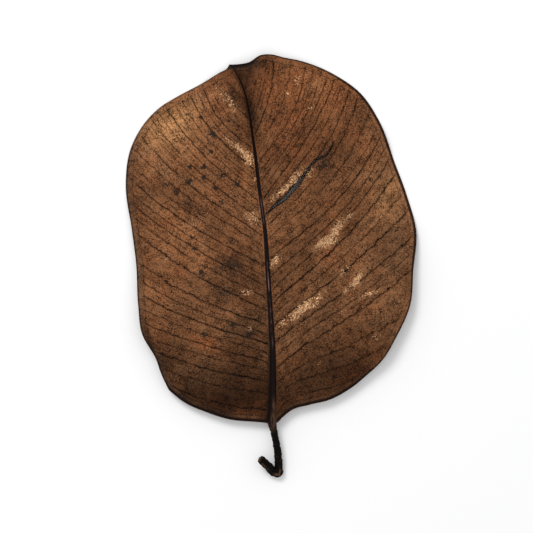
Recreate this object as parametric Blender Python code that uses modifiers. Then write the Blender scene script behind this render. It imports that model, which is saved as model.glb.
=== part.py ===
"""A dry fallen leaf lying on a surface: blade, midrib and hooked stalk, grown as one piece.

World units are metres and +Z is up. The tip points to +Y and the stalk to -Y. The blade's outline, its
midrib and its heights are smooth curves through the points below, which are all in millimetres.
"""

import bmesh
import bpy
import numpy as np

MM = 0.001

BLADE_THICKNESS = 0.46
COLUMNS_EACH_SIDE = 15
ROWS = 46
BASE_Y = -52.6
TIP_Y = 66.6

# Margin points are (vein, X, Y). "vein" is the height on the midrib whose side vein ends at that point:
# 0 is the blade's base and 1 its tip. A side's first point is its lower corner.
RIGHT_MARGIN = [
    (0.0, 32.0, -36.0),
    (0.031, 36.6, -31.6),
    (0.075, 41.2, -24.0),
    (0.113, 46.0, -13.0),
    (0.141, 47.0, -1.5),
    (0.219, 48.1, 11.0),
    (0.285, 44.9, 23.5),
    (0.34, 40.8, 34.6),
    (0.476, 35.8, 48.0),
    (0.535, 29.6, 57.2),
    (0.612, 21.6, 63.0),
    (0.733, 9.2, 68.0),
    (0.764, 4.0, 69.0),
    (0.795, 0.3, 69.9),
    (0.86, -3.3, 69.7),
    (0.93, -7.4, 67.3),
    (0.965, -10.6, 66.7),
    (1.0, -13.8, 66.6),
]
LEFT_MARGIN = [
    (0.0, -33.8, -41.2),
    (0.05, -36.4, -35.6),
    (0.085, -38.0, -31.0),
    (0.135, -42.6, -22.6),
    (0.19, -43.9, -13.0),
    (0.258, -44.6, 0.5),
    (0.298, -46.0, 11.5),
    (0.41, -48.1, 27.0),
    (0.475, -46.7, 38.0),
    (0.545, -41.0, 48.3),
    (0.60, -36.3, 52.8),
    (0.65, -31.6, 55.7),
    (0.76, -22.5, 60.6),
    (0.90, -16.9, 64.0),
    (0.95, -14.6, 65.3),
    (1.0, -13.8, 66.6),
]
# The lower margins are (X, Y) from the midrib's foot out to each corner.
RIGHT_BASE = [
    (0.3, -52.6),
    (2.2, -52.0),
    (3.8, -50.4),
    (7.0, -47.9),
    (12.8, -46.2),
    (19.5, -44.5),
    (26.5, -40.6),
    (32.0, -36.0),
]
LEFT_BASE = [
    (0.3, -52.6),
    (-1.6, -52.2),
    (-5.0, -51.9),
    (-14.0, -51.0),
    (-21.0, -48.8),
    (-29.0, -45.2),
    (-33.8, -41.2),
]
# How fast the pull of the lower margin's shape dies away up the blade.
BASE_PULL = 8

# (vein, X) down the middle of the midrib.
MIDRIB_X = [
    (0.0, 0.3),
    (0.10, 0.7),
    (0.19, 0.7),
    (0.29, 0.0),
    (0.42, -1.0),
    (0.52, -1.8),
    (0.65, -3.8),
    (0.79, -5.8),
    (0.86, -7.0),
    (0.93, -9.0),
    (0.97, -11.2),
    (1.0, -13.8),
]
# Side veins leave the midrib steeply, by this share of its length, and then sag towards the base by
# (vein, share of their own length).
VEIN_RISE = 0.016
RIGHT_SAG = [
    (0.0, 0.0),
    (0.10, 0.0),
    (0.25, 0.03),
    (0.45, 0.08),
    (0.55, 0.10),
    (0.62, 0.05),
    (0.7, 0.10),
    (0.85, 0.06),
    (1.0, 0.0),
]
LEFT_SAG = [
    (0.0, 0.0),
    (0.15, 0.0),
    (0.25, 0.05),
    (0.35, 0.04),
    (0.6, 0.055),
    (0.75, 0.11),
    (0.85, 0.05),
    (1.0, 0.0),
]

# (vein, height above the surface) along the midrib and along each margin. A margin that the curl would
# press below the surface lies flat on it.
MIDRIB_Z = [(0.0, 3.2), (0.08, 4.0), (0.20, 5.6), (0.40, 5.8), (0.62, 4.6), (0.83, 2.9), (1.0, 1.5)]
RIGHT_MARGIN_Z = [
    (0.0, 2.8),
    (0.05, 4.8),
    (0.105, 4.4),
    (0.20, 1.8),
    (0.28, -0.3),
    (0.40, 0.9),
    (0.54, -0.4),
    (0.70, 0.8),
    (0.83, 2.4),
    (0.95, 2.2),
    (1.0, 1.5),
]
LEFT_MARGIN_Z = [
    (0.0, 2.4),
    (0.05, 3.6),
    (0.085, 3.2),
    (0.11, 4.0),
    (0.19, 3.0),
    (0.28, 1.4),
    (0.375, 0.5),
    (0.485, -1.6),
    (0.64, -1.2),
    (0.76, 0.4),
    (0.90, 1.2),
    (1.0, 1.5),
]
# How far each half bulges above the straight line from midrib to margin, halfway out.
BULGE = [(0.0, 0.3), (0.15, 1.2), (0.40, 2.2), (0.70, 2.0), (0.90, 0.7), (1.0, 0.0)]

# Midrib and stalk radii. The midrib runs on into the stalk, which bends sharply at its lower end.
RIB_RADIUS = [(0.0, 1.15), (0.10, 1.0), (0.25, 0.85), (0.50, 0.66), (0.80, 0.5), (1.0, 0.4)]
RIB_POINTS = 40
RIB_END = 0.955
# (X, Y, Z, radius) from the midrib's foot down to the bend, and then along the hook to its broken end.
STALK = [
    (0.3, -52.6, 3.2, 1.15),
    (1.4, -57.4, 2.8, 1.12),
    (2.0, -60.7, 2.35, 1.17),
    (2.36, -64.0, 1.9, 1.25),
    (2.4, -68.5, 1.4, 1.36),
]
HOOK = [
    (2.2, -69.0, 1.45, 1.38),
    (0.2, -67.0, 1.9, 1.38),
    (-1.9, -65.2, 2.9, 1.35),
    (-3.7, -63.8, 3.9, 1.25),
]
TUBE_RESOLUTION = 2

# The tear beside the midrib: its run of (X, Y), its widest opening and its cutter's height range.
TEAR = [(0.6, 19.0), (4.3, 21.9), (8.4, 26.3), (11.4, 30.5), (14.6, 34.0), (18.4, 36.6)]
TEAR_WIDTH = 1.3
TEAR_POINTS = 9
TEAR_BOTTOM = 1.0
TEAR_TOP = 12.0


def clear_scene():
    for item in list(bpy.data.objects):
        bpy.data.objects.remove(item, do_unlink=True)


def make_collection(name):
    collection = bpy.data.collections.new(name)
    bpy.context.scene.collection.children.link(collection)
    return collection


def make_material(name, color, roughness):
    material = bpy.data.materials.new(name)
    material.use_nodes = True
    shader = material.node_tree.nodes["Principled BSDF"]
    shader.inputs["Base Color"].default_value = (*color, 1.0)
    shader.inputs["Roughness"].default_value = roughness
    shader.inputs["Metallic"].default_value = 0.0
    return material


def hermite(keys, values, tangents, at):
    """Cubic pieces that pass through the values with these tangents."""
    cell = np.clip(np.searchsorted(keys, at, side="right") - 1, 0, len(keys) - 2)
    step = (keys[1:] - keys[:-1])[cell]
    t = (at - keys[cell]) / step
    start = (2 * t**3 - 3 * t**2 + 1) * values[cell] + (t**3 - 2 * t**2 + t) * step * tangents[cell]
    end = (3 * t**2 - 2 * t**3) * values[cell + 1] + (t**3 - t**2) * step * tangents[cell + 1]
    return start + end


def smooth(keys, values, at):
    """A curve through the values. Each tangent is that of the parabola through a point and its neighbours."""
    keys, values = np.asarray(keys, float), np.asarray(values, float)
    step = np.diff(keys)
    slope = np.diff(values) / step
    middle = (slope[:-1] * step[1:] + slope[1:] * step[:-1]) / (step[:-1] + step[1:])
    first = 1.5 * slope[0] - 0.5 * middle[0]
    last = 1.5 * slope[-1] - 0.5 * middle[-1]
    return hermite(keys, values, np.concatenate([[first], middle, [last]]), np.asarray(at, float))


def rising(keys, values, at):
    """A curve through rising values that never turns back, from the harmonic mean of the slopes."""
    keys, values = np.asarray(keys, float), np.asarray(values, float)
    slope = np.diff(values) / np.diff(keys)
    middle = 2 * slope[:-1] * slope[1:] / (slope[:-1] + slope[1:])
    tangents = np.concatenate([[slope[0]], middle, [slope[-1]]])
    return hermite(keys, values, tangents, np.asarray(at, float))


def from_table(table, at):
    keys, values = np.array(table).T
    return smooth(keys, values, at)


def run_length(points):
    steps = np.linalg.norm(np.diff(points, axis=0), axis=1)
    return np.concatenate([[0.0], np.cumsum(steps)])


def along_curve(points, share):
    """Points at a share from 0 to 1 of the way along a smooth curve through the given ones."""
    points = np.asarray(points, float)
    run = run_length(points)
    return np.stack([smooth(run, axis, np.asarray(share) * run[-1]) for axis in points.T], axis=-1)


def margin_point(table, vein):
    table = np.array(table)
    run = run_length(table[:, 1:])
    reach = rising(table[:, 0], run, vein)
    return np.stack([smooth(run, table[:, 1], reach), smooth(run, table[:, 2], reach)], axis=-1)


def midrib_point(vein):
    vein = np.asarray(vein, float)
    return np.stack([from_table(MIDRIB_X, vein), BASE_Y + (TIP_Y - BASE_Y) * vein], axis=-1)


def blade_xy(side, out, vein):
    """The plan of one half: veins from midrib to margin with a steep start and a sag, pulled near the
    base onto the lower margin."""
    margin, base, sag = (
        (RIGHT_MARGIN, RIGHT_BASE, RIGHT_SAG) if side > 0 else (LEFT_MARGIN, LEFT_BASE, LEFT_SAG)
    )
    rise = VEIN_RISE * (1 - vein) * (1 - np.exp(-out / 0.05)) * np.minimum(vein / 0.05, 1)
    inner = midrib_point(vein + rise)
    chord = margin_point(margin, vein) - inner
    towards_base = np.stack([chord[..., 1], -chord[..., 0]], axis=-1) * side
    sag_shape = np.interp(vein, *np.array(sag).T) * out**1.2 * (1 - out) / 0.245
    foot = midrib_point(0.0)
    straight_base = foot + out[..., None] * (margin_point(margin, 0.0) - foot)
    pull = (1 - vein) ** BASE_PULL
    return (
        inner
        + out[..., None] * chord
        + sag_shape[..., None] * towards_base
        + pull[..., None] * (along_curve(base, out) - straight_base)
    )


def blade_z(side, out, vein):
    """Heights go from the midrib to the margin in a parabola, with a bulge that peaks halfway out."""
    edge = from_table(RIGHT_MARGIN_Z if side > 0 else LEFT_MARGIN_Z, vein)
    middle = from_table(MIDRIB_Z, vein)
    height = middle + (edge - middle) * out**1.6 + from_table(BULGE, vein) * 4 * out * (1 - out)
    return np.maximum(height, BLADE_THICKNESS / 2)


def make_blade(collection, material):
    """A grid of cells laid over both halves, its last row drawn together at the tip, then thickened."""
    shape = bmesh.new()
    bmesh.ops.create_grid(shape, x_segments=2 * COLUMNS_EACH_SIDE, y_segments=ROWS, size=1.0)
    place = np.array([vertex.co[:2] for vertex in shape.verts])
    out = np.abs(place[:, 0])
    vein = (place[:, 1] + 1) / 2
    left = place[:, 0] < 0
    xy = np.where(left[:, None], blade_xy(-1, out, vein), blade_xy(1, out, vein))
    z = np.where(left, blade_z(-1, out, vein), blade_z(1, out, vein))
    for vertex, point in zip(shape.verts, np.column_stack([xy, z]) * MM):
        vertex.co = point
    bmesh.ops.remove_doubles(shape, verts=shape.verts, dist=0.01 * MM)
    bmesh.ops.recalc_face_normals(shape, faces=shape.faces)
    if shape.faces[:][0].normal.z < 0:
        bmesh.ops.reverse_faces(shape, faces=shape.faces)
    mesh = bpy.data.meshes.new("leaf")
    shape.to_mesh(mesh)
    shape.free()
    mesh.shade_smooth()
    mesh.materials.append(material)
    leaf = bpy.data.objects.new("leaf", mesh)
    collection.objects.link(leaf)
    wall = leaf.modifiers.new("thickness", "SOLIDIFY")
    wall.thickness = BLADE_THICKNESS * MM
    wall.offset = 0.0
    wall.use_even_offset = True
    return leaf


def make_tube(name, points, radii, collection, material):
    """A closed tube along the points, made a mesh with its end caps welded on."""
    curve = bpy.data.curves.new(name, "CURVE")
    curve.dimensions = "3D"
    curve.bevel_depth = MM
    curve.bevel_resolution = TUBE_RESOLUTION
    curve.use_fill_caps = True
    spline = curve.splines.new("POLY")
    spline.points.add(len(points) - 1)
    for knot, point, radius in zip(spline.points, points, radii):
        knot.co = (*(np.array(point) * MM), 1.0)
        knot.radius = radius
    guide = bpy.data.objects.new(name + "_guide", curve)
    collection.objects.link(guide)
    bpy.context.view_layer.update()
    mesh = bpy.data.meshes.new_from_object(guide.evaluated_get(bpy.context.evaluated_depsgraph_get()))
    bpy.data.objects.remove(guide, do_unlink=True)
    shape = bmesh.new()
    shape.from_mesh(mesh)
    bmesh.ops.remove_doubles(shape, verts=shape.verts, dist=0.001 * MM)
    bmesh.ops.recalc_face_normals(shape, faces=shape.faces)
    shape.to_mesh(mesh)
    shape.free()
    mesh.materials.clear()
    mesh.materials.append(material)
    tube = bpy.data.objects.new(name, mesh)
    collection.objects.link(tube)
    return tube


def make_midrib_and_stalk(collection, material):
    vein = np.linspace(RIB_END, 0.0, RIB_POINTS)
    rib = np.column_stack([midrib_point(vein), from_table(MIDRIB_Z, vein), from_table(RIB_RADIUS, vein)])
    path = np.concatenate([rib, STALK[1:]])
    return make_tube("midrib_and_stalk", path[:, :3], path[:, 3], collection, material)


def make_hook(collection, material):
    path = np.array(HOOK)
    return make_tube("hook", path[:, :3], path[:, 3], collection, material)


def make_tear_cutter(collection):
    """A lens along the tear, its width a half sine of the way along, raised into a prism."""
    share = np.linspace(0.0, 1.0, TEAR_POINTS)
    middle = along_curve(TEAR, share)
    ahead = np.gradient(middle, axis=0)
    across = np.column_stack([-ahead[:, 1], ahead[:, 0]]) / np.linalg.norm(ahead, axis=1)[:, None]
    half = TEAR_WIDTH / 2 * np.sin(np.pi * share)[:, None]
    outline = np.concatenate([middle + across * half, (middle - across * half)[-2:0:-1]])
    shape = bmesh.new()
    corners = [shape.verts.new((x * MM, y * MM, TEAR_BOTTOM * MM)) for x, y in outline]
    floor = shape.faces.new(corners)
    raised = bmesh.ops.extrude_face_region(shape, geom=[floor])["geom"]
    top = [item for item in raised if isinstance(item, bmesh.types.BMVert)]
    bmesh.ops.translate(shape, verts=top, vec=(0.0, 0.0, (TEAR_TOP - TEAR_BOTTOM) * MM))
    bmesh.ops.recalc_face_normals(shape, faces=shape.faces)
    mesh = bpy.data.meshes.new("tear_cutter")
    shape.to_mesh(mesh)
    shape.free()
    cutter = bpy.data.objects.new("tear_cutter", mesh)
    collection.objects.link(cutter)
    return cutter


def join_or_cut(target, operand, operation):
    step = target.modifiers.new(operand.name, "BOOLEAN")
    step.operation = operation
    step.solver = "EXACT"
    step.object = operand
    operand.hide_render = True
    operand.display_type = "WIRE"


def main():
    clear_scene()
    leaf_parts = make_collection("autumn_leaf")
    cutters = make_collection("cutters")
    blade_brown = make_material("blade_brown", (0.15, 0.065, 0.028), 0.75)
    stalk_black = make_material("stalk_black", (0.012, 0.008, 0.006), 0.6)
    leaf = make_blade(leaf_parts, blade_brown)
    leaf.data.materials.append(stalk_black)
    join_or_cut(leaf, make_midrib_and_stalk(cutters, stalk_black), "UNION")
    join_or_cut(leaf, make_hook(cutters, stalk_black), "UNION")
    join_or_cut(leaf, make_tear_cutter(cutters), "DIFFERENCE")


main()
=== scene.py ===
from functools import reduce
from types import SimpleNamespace

import bpy
import numpy as np
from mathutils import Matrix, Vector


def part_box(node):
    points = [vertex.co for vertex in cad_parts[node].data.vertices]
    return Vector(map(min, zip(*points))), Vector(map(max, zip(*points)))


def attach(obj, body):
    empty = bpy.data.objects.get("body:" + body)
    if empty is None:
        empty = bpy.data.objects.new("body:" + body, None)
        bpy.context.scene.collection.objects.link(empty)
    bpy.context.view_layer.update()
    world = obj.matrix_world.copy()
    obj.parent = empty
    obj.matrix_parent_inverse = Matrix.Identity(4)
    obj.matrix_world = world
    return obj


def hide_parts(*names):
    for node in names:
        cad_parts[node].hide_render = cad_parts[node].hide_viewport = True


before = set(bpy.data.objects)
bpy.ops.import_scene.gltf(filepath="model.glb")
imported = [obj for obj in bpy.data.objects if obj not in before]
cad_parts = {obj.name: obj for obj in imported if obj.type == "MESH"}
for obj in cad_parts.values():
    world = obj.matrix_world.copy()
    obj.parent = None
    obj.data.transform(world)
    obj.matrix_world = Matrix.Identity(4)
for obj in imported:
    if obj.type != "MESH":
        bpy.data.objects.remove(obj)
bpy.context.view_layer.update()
mm = 0.001

# The blade's outline, midrib and heights, in millimetres. "vein" is a height on the midrib, 0 at the
# blade's base and 1 at its tip, and a margin row says where the side vein from there ends.
blade = {
    "thickness": 0.46,
    "rimRound": 0.5,
    "baseY": -52.6,
    "tipY": 66.6,
    "basePull": 8,
    "rows": 172,
    "openColumns": 84,
    "rimGaps": [0, 0.05, 0.12, 0.22, 0.36, 0.55, 0.8, 1.15, 1.6, 2.2],
    "fullGapLength": 12,
    "baseSteps": [0, 0.0006, 0.0014, 0.0026, 0.0044, 0.007, 0.0105, 0.015],
    "tipSteps": [0.986, 0.990, 0.9935, 0.9963, 0.9983, 1.0],
    "rightMargin": [
        (0, 32, -36), (0.031, 36.6, -31.6), (0.075, 41.2, -24), (0.113, 46, -13),
        (0.141, 47, -1.5), (0.219, 48.1, 11), (0.285, 44.9, 23.5), (0.34, 40.8, 34.6),
        (0.476, 35.8, 48), (0.535, 29.6, 57.2), (0.612, 21.6, 63), (0.733, 9.2, 68),
        (0.764, 4, 69), (0.795, 0.3, 69.9), (0.86, -3.3, 69.7), (0.93, -7.4, 67.3),
        (0.965, -10.6, 66.7), (1, -13.8, 66.6),
    ],
    "leftMargin": [
        (0, -33.8, -41.2), (0.05, -36.4, -35.6), (0.085, -38, -31), (0.135, -42.6, -22.6),
        (0.19, -43.9, -13), (0.258, -44.6, 0.5), (0.298, -46, 11.5), (0.41, -48.1, 27),
        (0.475, -46.7, 38), (0.545, -41, 48.3), (0.60, -36.3, 52.8), (0.65, -31.6, 55.7),
        (0.76, -22.5, 60.6), (0.90, -16.9, 64), (0.95, -14.6, 65.3), (1, -13.8, 66.6),
    ],
    "rightBase": [
        (0.3, -52.6), (2.2, -52), (3.8, -50.4), (7, -47.9), (12.8, -46.2), (19.5, -44.5),
        (26.5, -40.6), (32, -36),
    ],
    "leftBase": [
        (0.3, -52.6), (-1.6, -52.2), (-5, -51.9), (-14, -51), (-21, -48.8), (-29, -45.2),
        (-33.8, -41.2),
    ],
    "midribX": [
        (0, 0.3), (0.10, 0.7), (0.19, 0.7), (0.29, 0), (0.42, -1), (0.52, -1.8), (0.65, -3.8),
        (0.79, -5.8), (0.86, -7), (0.93, -9), (0.97, -11.2), (1, -13.8),
    ],
    # side veins leave the midrib steeply, then sag towards the base by a share of their length, which is
    # out to the power of the skew times what is left, over that shape's own peak
    "rise": 0.016,
    "riseReach": 0.05,
    "sagSkew": 1.2,
    "sagPeak": 0.245,
    "rightSag": [
        (0, 0), (0.10, 0), (0.25, 0.03), (0.45, 0.08), (0.55, 0.10), (0.62, 0.05), (0.7, 0.10),
        (0.85, 0.06), (1, 0),
    ],
    "leftSag": [
        (0, 0), (0.15, 0), (0.25, 0.05), (0.35, 0.04), (0.6, 0.055), (0.75, 0.11), (0.85, 0.05),
        (1, 0),
    ],
    "midribZ": [
        (0, 3.2), (0.08, 4), (0.20, 5.6), (0.40, 5.8), (0.62, 4.6), (0.83, 2.9), (1, 1.5),
    ],
    "rightMarginZ": [
        (0, 2.8), (0.05, 4.8), (0.105, 4.4), (0.20, 1.8), (0.28, -0.3), (0.40, 0.9), (0.54, -0.4),
        (0.70, 0.8), (0.83, 2.4), (0.95, 2.2), (1, 1.5),
    ],
    "leftMarginZ": [
        (0, 2.4), (0.05, 3.6), (0.085, 3.2), (0.11, 4), (0.19, 3), (0.28, 1.4), (0.375, 0.5),
        (0.485, -1.6), (0.64, -1.2), (0.76, 0.4), (0.90, 1.2), (1, 1.5),
    ],
    "curl": 1.6,
    "bulge": [(0, 0.3), (0.15, 1.2), (0.40, 2.2), (0.70, 2), (0.90, 0.7), (1, 0)],
}

# Half width of the midrib, and how far it stands above and below the blade.
midrib = {
    "columns": 8,
    "halfWidth": [
        (0, 1.5), (0.03, 1.1), (0.08, 1), (0.25, 0.95), (0.42, 0.88), (0.56, 0.84), (0.66, 0.86),
        (0.80, 0.80), (0.90, 0.66), (0.97, 0.5), (1, 0.25),
    ],
    "above": [
        (0, 1.15), (0.05, 0.85), (0.20, 0.6), (0.45, 0.45), (0.56, 0.28), (0.66, -0.05),
        (0.85, -0.3), (0.95, -0.25), (1, 0),
    ],
    "below": [(0, 1.15), (0.1, 1.05), (0.3, 0.9), (0.5, 0.75), (0.7, 0.6), (0.9, 0.35), (1, 0)],
    "furrow": [(0, 0.3), (0.1, 0.4), (0.3, 0.25), (0.6, 0.2), (0.8, 0.5), (0.95, 0.3), (1, 0)],
    "furrowWidth": 1.6,
}

# Side veins as (where they leave the midrib, strength).
sideVeins = {
    "right": [
        (0.03, 0.35), (0.07, 0.4), (0.105, 0.5), (0.143, 0.9), (0.18, 0.4), (0.219, 0.8), (0.264, 1),
        (0.293, 0.35), (0.323, 1), (0.36, 0.45), (0.40, 0.45), (0.447, 0.9), (0.475, 0.35),
        (0.505, 0.5), (0.54, 0.7), (0.566, 0.8), (0.59, 0.45), (0.613, 0.85), (0.638, 0.5),
        (0.662, 0.5), (0.69, 0.45), (0.715, 0.7), (0.75, 0.4), (0.79, 0.9), (0.83, 0.35), (0.87, 0.3),
        (0.92, 0.2),
    ],
    "left": [
        (0.03, 0.6), (0.07, 0.4), (0.105, 0.9), (0.133, 0.35), (0.158, 0.65), (0.185, 0.35),
        (0.211, 1), (0.237, 0.4), (0.263, 0.9), (0.303, 0.9), (0.338, 0.45), (0.373, 0.7),
        (0.40, 0.4), (0.428, 0.8), (0.455, 0.4), (0.485, 0.5), (0.512, 0.85), (0.535, 0.3),
        (0.555, 0.7), (0.583, 0.35), (0.609, 0.95), (0.637, 0.4), (0.665, 0.4), (0.698, 1),
        (0.727, 0.4), (0.755, 0.9), (0.79, 0.4), (0.84, 0.5), (0.89, 0.25),
    ],
    "groove": 0.07,
    "ridgeBelow": 0.14,
    "quilt": 0.07,
    "grooveWidth": 0.38,
}

# The split beside the midrib: its course as (share of the way out, vein) and its opening in millimetres.
tear = {
    "vein": 0.565,
    "bend": 0.06,
    "course": [
        (0, 0.572), (0.08, 0.569), (0.17, 0.562), (0.33, 0.565), (0.49, 0.565), (0.56, 0.552),
        (0.63, 0.554), (0.72, 0.565), (1, 0.565),
    ],
    "opening": [
        (0, 0), (0.02, 0), (0.03, 0.3), (0.07, 0.42), (0.12, 0.75), (0.20, 1.25), (0.30, 1.25),
        (0.36, 0.8), (0.42, 0.45), (0.50, 0.28), (0.58, 0.24), (0.63, 0.16), (0.65, 0), (1, 0),
    ],
    "spread": 5,
    "upperLift": 0.5,
    "lowerDrop": 0.15,
    "liftReach": 1.6,
    "fullLiftOpening": 0.8,
    # painted shade along both lips of the tear: how dark, and how far from the lip in millimetres
    "lipShade": 0.95,
    "lipShadeReach": 0.25,
}

# The stalk from the blade's foot to the sharp bend and on along the hook, as (X, Y, Z, radius).
stalk = {
    "course": [
        (0.3, -52.6, 3.2, 1.35), (0.8, -54.6, 3.1, 1.15), (1.4, -57.4, 2.8, 1.06),
        (2, -60.7, 2.35, 1.14), (2.36, -64, 1.9, 1.22), (2.5, -66.9, 1.5, 1.3),
        (2.25, -68.8, 1.4, 1.4), (0.95, -68.5, 1.5, 1.4), (-0.4, -67, 2.1, 1.36),
        (-1.9, -65.5, 3, 1.32), (-3.5, -64.05, 3.85, 1.26),
    ],
    "rings": 112,
    "settle": 3,
    "ridges": 0.11,
    "ridgeCounts": (3, 5, 7, 9, 12),
    "lumps": 0.0425,
    "lumpLengths": (1.1, 1.9, 3.3),
    # the smaller and smaller rings of the broken end, as (size, depth)
    "endRings": [(0.9, 0.12), (0.68, -0.15), (0.42, 0), (0.2, -0.2)],
    "endRoughness": 0.35,
    "lowest": 0.02,
    "seed": 11,
}

sheetWaves = {"count": 16, "shortest": 5, "longest": 17, "height": 0.07, "seed": 4}


# Cubic pieces through the values, each with its own slope at either end.
def hermite(keys, values, slopes, at):
    cell = np.clip(np.searchsorted(keys, at, side="right") - 1, 0, len(keys) - 2)
    step = (keys[1:] - keys[:-1])[cell]
    t = (at - keys[cell]) / step
    start = (2 * t**3 - 3 * t**2 + 1) * values[cell] + (t**3 - 2 * t**2 + t) * step * slopes[cell]
    end = (3 * t**2 - 2 * t**3) * values[cell + 1] + (t**3 - t**2) * step * slopes[cell + 1]
    return start + end


# A curve through the values, with the slope at each of the parabola through it and its neighbours.
def smooth(keys, values, at):
    keys, values = np.asarray(keys, float), np.asarray(values, float)
    step = np.diff(keys)
    slope = np.diff(values) / step
    middle = (slope[:-1] * step[1:] + slope[1:] * step[:-1]) / (step[:-1] + step[1:])
    first = 1.5 * slope[0] - 0.5 * middle[0]
    last = 1.5 * slope[-1] - 0.5 * middle[-1]
    return hermite(keys, values, np.concatenate([[first], middle, [last]]), np.asarray(at, float))


# A curve through rising values that never turns back: slopes are harmonic means of their neighbours.
def rising(keys, values, at):
    keys, values = np.asarray(keys, float), np.asarray(values, float)
    slope = np.diff(values) / np.diff(keys)
    middle = 2 * slope[:-1] * slope[1:] / (slope[:-1] + slope[1:])
    slopes = np.concatenate([[slope[0]], middle, [slope[-1]]])
    return hermite(keys, values, slopes, np.asarray(at, float))


def fromTable(table, at):
    keys, values = np.array(table).T
    return smooth(keys, values, at)


def straightTable(table, at):
    keys, values = np.array(table).T
    return np.interp(at, keys, values)


# Distance run along the points up to each of them.
def runLength(points):
    steps = np.linalg.norm(np.diff(points, axis=0), axis=1)
    return np.concatenate([[0.0], np.cumsum(steps)])


# Points at a share of the way along a smooth curve through the given ones.
def alongCurve(points, share):
    points = np.asarray(points, float)
    run = runLength(points[:, :3])
    return np.stack([smooth(run, axis, np.asarray(share) * run[-1]) for axis in points.T], axis=-1)


def smoothStep(low, high, at):
    t = np.clip((at - low) / (high - low), 0, 1)
    return t * t * (3 - 2 * t)


# A margin is a smooth curve through its points, and the vein says how far along it to go.
def marginPoint(table, vein):
    table = np.array(table)
    run = runLength(table[:, 1:])
    reach = rising(table[:, 0], run, vein)
    return np.stack([smooth(run, table[:, 1], reach), smooth(run, table[:, 2], reach)], axis=-1)


def midribPoint(vein):
    vein = np.asarray(vein, float)
    y = blade["baseY"] + (blade["tipY"] - blade["baseY"]) * vein
    return np.stack([fromTable(blade["midribX"], vein), y], axis=-1)


# The plan of one half: a vein runs straight from midrib to margin after a steep start, sags towards the
# base, and near the base is pulled onto the lower margin.
def bladePlan(side, out, vein):
    margin, base, sag = blade[side + "Margin"], blade[side + "Base"], blade[side + "Sag"]
    reach = blade["riseReach"]
    lift = blade["rise"] * (1 - vein) * (1 - np.exp(-out / reach)) * np.minimum(vein / reach, 1)
    inner = midribPoint(vein + lift)
    chord = marginPoint(margin, vein) - inner
    towardsBase = np.stack([chord[..., 1], -chord[..., 0]], axis=-1) * (1 if side == "right" else -1)
    sagShape = straightTable(sag, vein) * out ** blade["sagSkew"] * (1 - out) / blade["sagPeak"]
    foot = midribPoint(0.0)
    straightBase = foot + out[..., None] * (marginPoint(margin, 0.0) - foot)
    pull = (1 - vein) ** blade["basePull"]
    return (
        inner
        + out[..., None] * chord
        + sagShape[..., None] * towardsBase
        + pull[..., None] * (alongCurve(base, out) - straightBase)
    )


# Heights go from midrib to margin by a power of the way out, with a bulge that peaks halfway.
def bladeHeight(side, out, vein):
    edge = fromTable(blade[side + "MarginZ"], vein)
    middle = fromTable(blade["midribZ"], vein)
    bulge = fromTable(blade["bulge"], vein) * 4 * out * (1 - out)
    return middle + (edge - middle) * out ** blade["curl"] + bulge


# Rows of the grid: crowded at the foot and the tip, and even between them, with the tear's row twice.
def rowVeins():
    low, high = blade["baseSteps"][-1], blade["tipSteps"][0]
    below = round(blade["rows"] * (tear["vein"] - low) / (high - low))
    lower = np.linspace(low, tear["vein"], below + 1)[1:]
    upper = np.linspace(tear["vein"], high, blade["rows"] - below + 1)[:-1]
    rows = np.concatenate([blade["baseSteps"], lower, upper, blade["tipSteps"]])
    return rows, len(blade["baseSteps"]) + len(lower) - 1


# Distance of each column from the midrib, as a share of the vein: a quarter circle of columns over the
# rib, even ones over the blade, and crowded ones at the rim.
def columnShares(length, ribWidth):
    k = midrib["columns"]
    over = ribWidth[:, None] * np.sin(np.arange(k + 1) / k * np.pi / 2)
    gaps = np.array(blade["rimGaps"][::-1]) * np.minimum(1, length / blade["fullGapLength"])[:, None]
    rim = length[:, None] - gaps
    even = np.linspace(0, 1, blade["openColumns"] + 1)[1:-1]
    middle = over[:, -1:] + (rim[:, :1] - over[:, -1:]) * even
    return np.concatenate([over, middle, rim], axis=1) / np.maximum(length[:, None], 1e-9)


# A vein's number at each height on the midrib, whole on the vein itself, and its strength.
def veinNumbers(side, vein):
    places, strengths = np.array([(0.0, 0.0)] + sideVeins[side] + [(1.0, 0.0)]).T
    number = rising(places, np.arange(len(places), dtype=float), vein)
    return number, np.interp(vein, places, strengths)


# A sum of seeded cosine waves, each with its own heading, length and start.
def waveSum(x, y, count, shortest, longest, height, seed):
    rng = np.random.RandomState(seed)
    heading = rng.uniform(0, np.pi, count)
    length = np.exp(rng.uniform(np.log(shortest), np.log(longest), count))
    start = rng.uniform(0, 2 * np.pi, count)
    summed = np.zeros_like(x)
    for a, b, c in zip(heading, length, start):
        summed += np.cos((x * np.cos(a) + y * np.sin(a)) * 2 * np.pi / b + c) * b / longest
    return summed * height


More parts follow.
